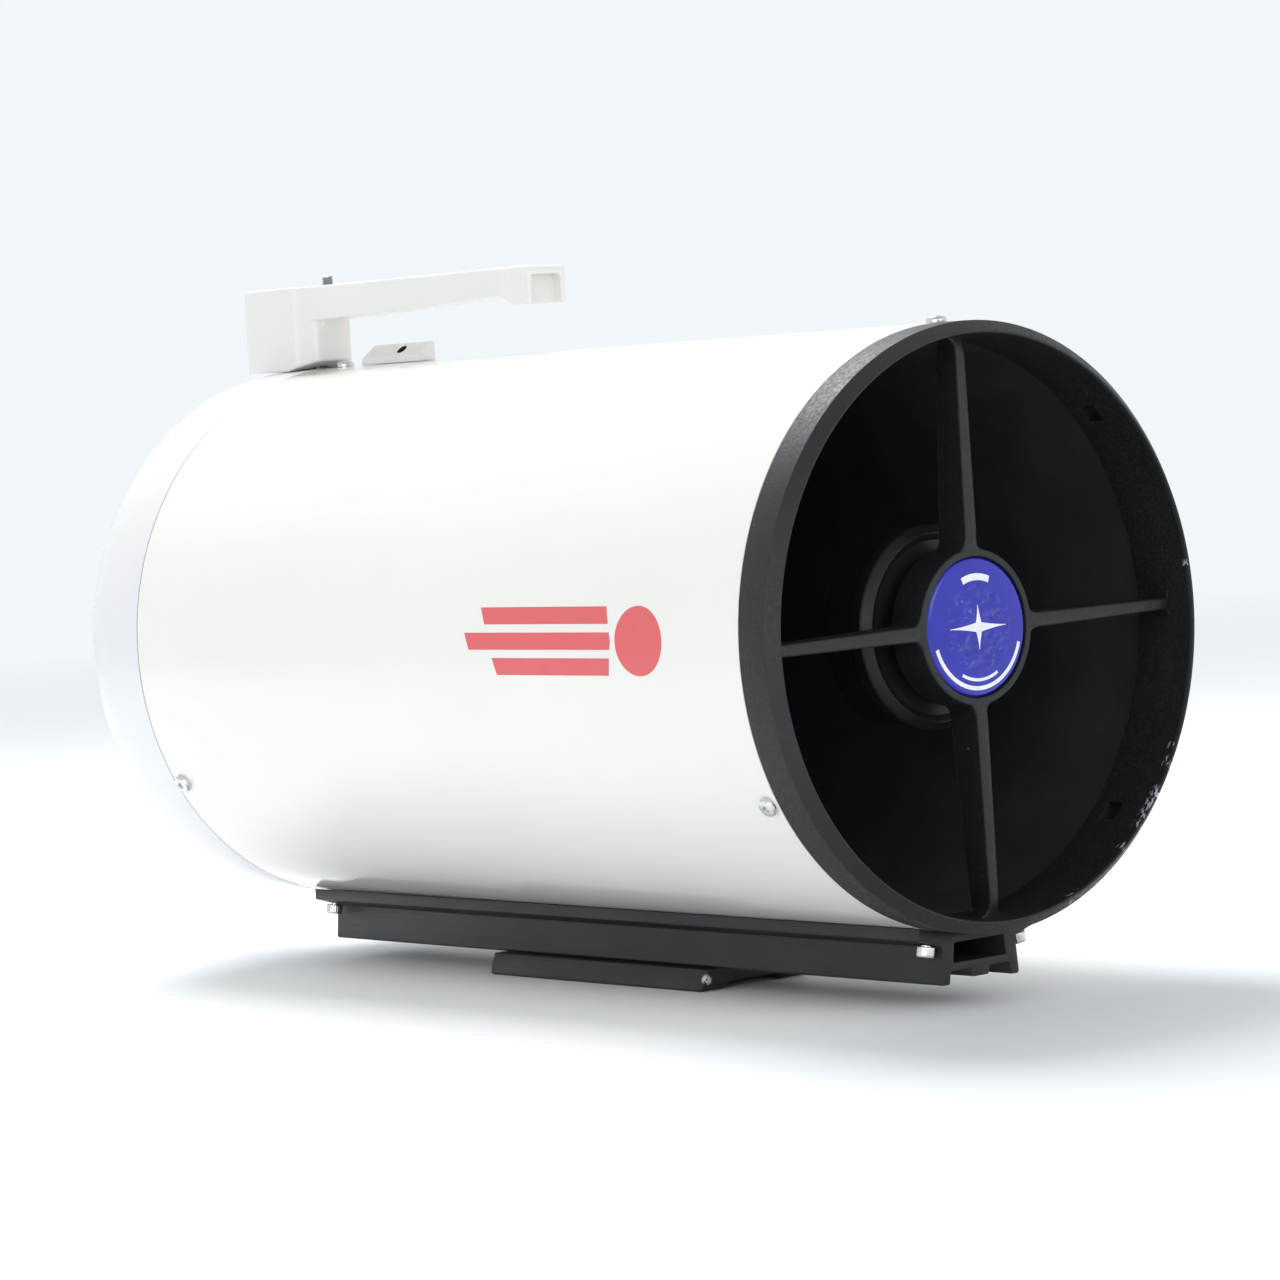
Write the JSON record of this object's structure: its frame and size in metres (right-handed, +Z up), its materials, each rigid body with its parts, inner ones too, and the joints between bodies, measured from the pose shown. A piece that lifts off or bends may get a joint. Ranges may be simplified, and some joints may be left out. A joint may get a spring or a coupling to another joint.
{
  "type": "telescope optical tube",
  "caption": "Open-fronted catadioptric telescope tube with a vaned front ring, moving primary mirror, focus knob, carry handle and dovetail mounting rail.",
  "frame": {"origin": "centre of the overall box, on the surface that the dovetail plate stands on", "axes": "+Y along the optical axis, from the open front towards the eyepiece; +Z up; +X to the right seen from the front, looking into the tube"},
  "size_m": [0.232, 0.5, 0.3004],
  "materials": {
    "ivory_paint": "gloss enamel",
    "white_paint": "semi-gloss enamel over a casting",
    "black_paint": "satin black with a fine crackle",
    "black_anodised": "satin black anodised",
    "rail_anodised": "dark grey anodised",
    "bright_steel": "bright plated",
    "black_steel": "blackened",
    "brass": "turned",
    "lens_glass": "coated and polished",
    "mirror_glass": "aluminised and polished",
    "badge_plastic": "gloss, embossed",
    "grip_rubber": "matt, grooved"
  },
  "bodies": {
    "root": {"main_tube": "ivory_paint", "rear_cell": "white_paint", "carry_handle": "white_paint", "accessory_shoe": "white_paint", "front_ring": "black_paint", "baffle_tube": "black_paint", "secondary_cell": "black_anodised", "secondary_spacer": "black_anodised", "secondary_retainer": "black_anodised", "visual_back_ring": "black_anodised", "visual_back_adapter": "black_anodised", "mounting_rail": "rail_anodised", "dovetail_plate": "rail_anodised", "front_ring_screw_1": "bright_steel", "front_ring_screw_2": "bright_steel", "front_ring_screw_3": "bright_steel", "rear_cell_screw_1": "bright_steel", "rear_cell_screw_2": "bright_steel", "rear_cell_screw_3": "bright_steel", "focus_bush_screw_1": "bright_steel", "focus_bush_screw_2": "bright_steel", "focus_bush_screw_3": "bright_steel", "rail_bolt_front_1": "bright_steel", "rail_bolt_front_2": "bright_steel", "rail_bolt_rear_1": "bright_steel", "rail_bolt_rear_2": "bright_steel", "plate_nut_1": "bright_steel", "plate_nut_2": "bright_steel", "accessory_shoe_screw_front": "bright_steel", "accessory_shoe_screw_rear": "bright_steel", "collimation_screw_1": "black_steel", "collimation_screw_2": "black_steel", "collimation_screw_3": "black_steel", "secondary_centre_bolt": "black_steel", "plate_bolt_1": "black_steel", "plate_bolt_2": "black_steel", "handle_bolt_1": "black_steel", "handle_bolt_2": "black_steel", "handle_stud": "black_steel", "focus_bush": "brass", "clamp_band": "brass", "corrector_lens": "lens_glass", "secondary_mirror": "mirror_glass", "secondary_badge": "badge_plastic"},
    "mirror": {"primary_mirror": "mirror_glass", "mirror_pad": "grip_rubber", "mirror_carrier": "black_anodised", "mirror_clamp_ring": "black_anodised", "focus_nut": "brass"},
    "knob": {"focus_screw": "bright_steel", "focus_knob": "black_anodised", "focus_knob_grip": "grip_rubber", "focus_knob_bolt": "black_steel"},
    "thumbscrew_a": {"thumbscrew_1": "bright_steel"},
    "thumbscrew_b": {"thumbscrew_2": "bright_steel"}
  },
  "joints": [
    {"name": "mirror_focus", "type": "slide", "parent": "root", "child": "mirror", "axis": [0, 1, 0], "range_m": [-0.008, 0.008]},
    {"name": "knob_turn", "type": "hinge", "parent": "root", "child": "knob", "pos_m": [-0.06, 0.21495, 0.1438], "axis": [0, 1, 0], "range_deg": [-2880, 2880]},
    {"name": "thumbscrew_a_out", "type": "slide", "parent": "root", "child": "thumbscrew_a", "axis": [0.7071, 0, 0.7071], "range_m": [0, 0.004]},
    {"name": "thumbscrew_b_out", "type": "slide", "parent": "root", "child": "thumbscrew_b", "axis": [-0.9659, 0, 0.2588], "range_m": [0, 0.004]}
  ],
  "couplings": [
    {"joint": "knob_turn", "follows": "mirror_focus", "rad_per_m": 6283.2}
  ]
}
